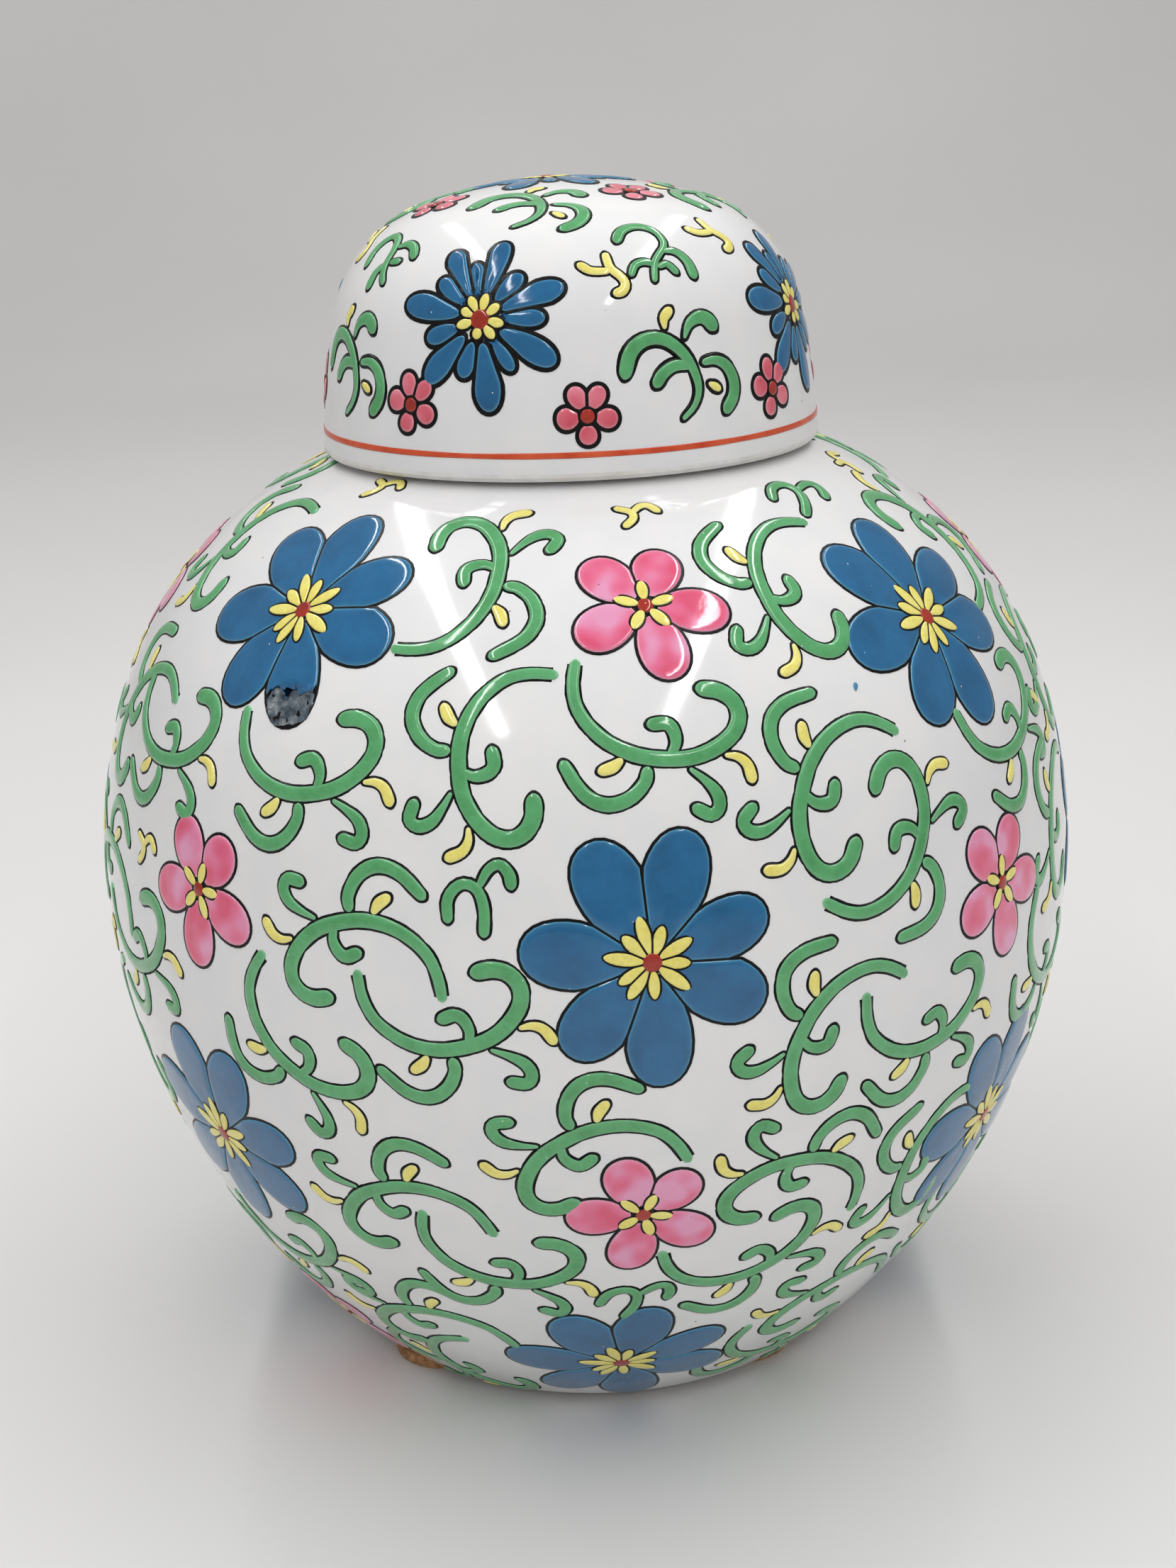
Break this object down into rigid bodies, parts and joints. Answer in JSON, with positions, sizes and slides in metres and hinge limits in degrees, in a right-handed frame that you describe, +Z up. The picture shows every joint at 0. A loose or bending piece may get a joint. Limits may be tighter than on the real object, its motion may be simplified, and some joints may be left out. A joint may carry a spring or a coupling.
{
  "type": "ginger jar",
  "caption": "Globular porcelain jar with a loose domed cap, enamelled all over with flowers and scrolls, on stuck-on cork pads.",
  "frame": {"origin": "on the jar's axis, at the level of the surface that the cork pads stand on", "axes": "+Z up along the jar's axis; -Y is the side that faces the viewer; +X to the viewer's right"},
  "size_m": [0.2, 0.2, 0.2401],
  "materials": {
    "porcelain": "gloss",
    "blue_enamel": "gloss",
    "pink_enamel": "gloss",
    "green_enamel": "gloss",
    "yellow_enamel": "gloss",
    "red_enamel": "gloss",
    "black_outline": "satin",
    "orange_band": "satin",
    "cork": "matte"
  },
  "bodies": {
    "jar": {"jar": "porcelain", "pad_front_left": "cork", "pad_front_right": "cork", "pad_back_right": "cork", "pad_back_left": "cork"},
    "cap": {"cap": "porcelain"}
  },
  "joints": [
    {"name": "cap_lift", "type": "slide", "parent": "jar", "child": "cap", "axis": [0, 0, 1], "range_m": [0, 0.08]}
  ]
}
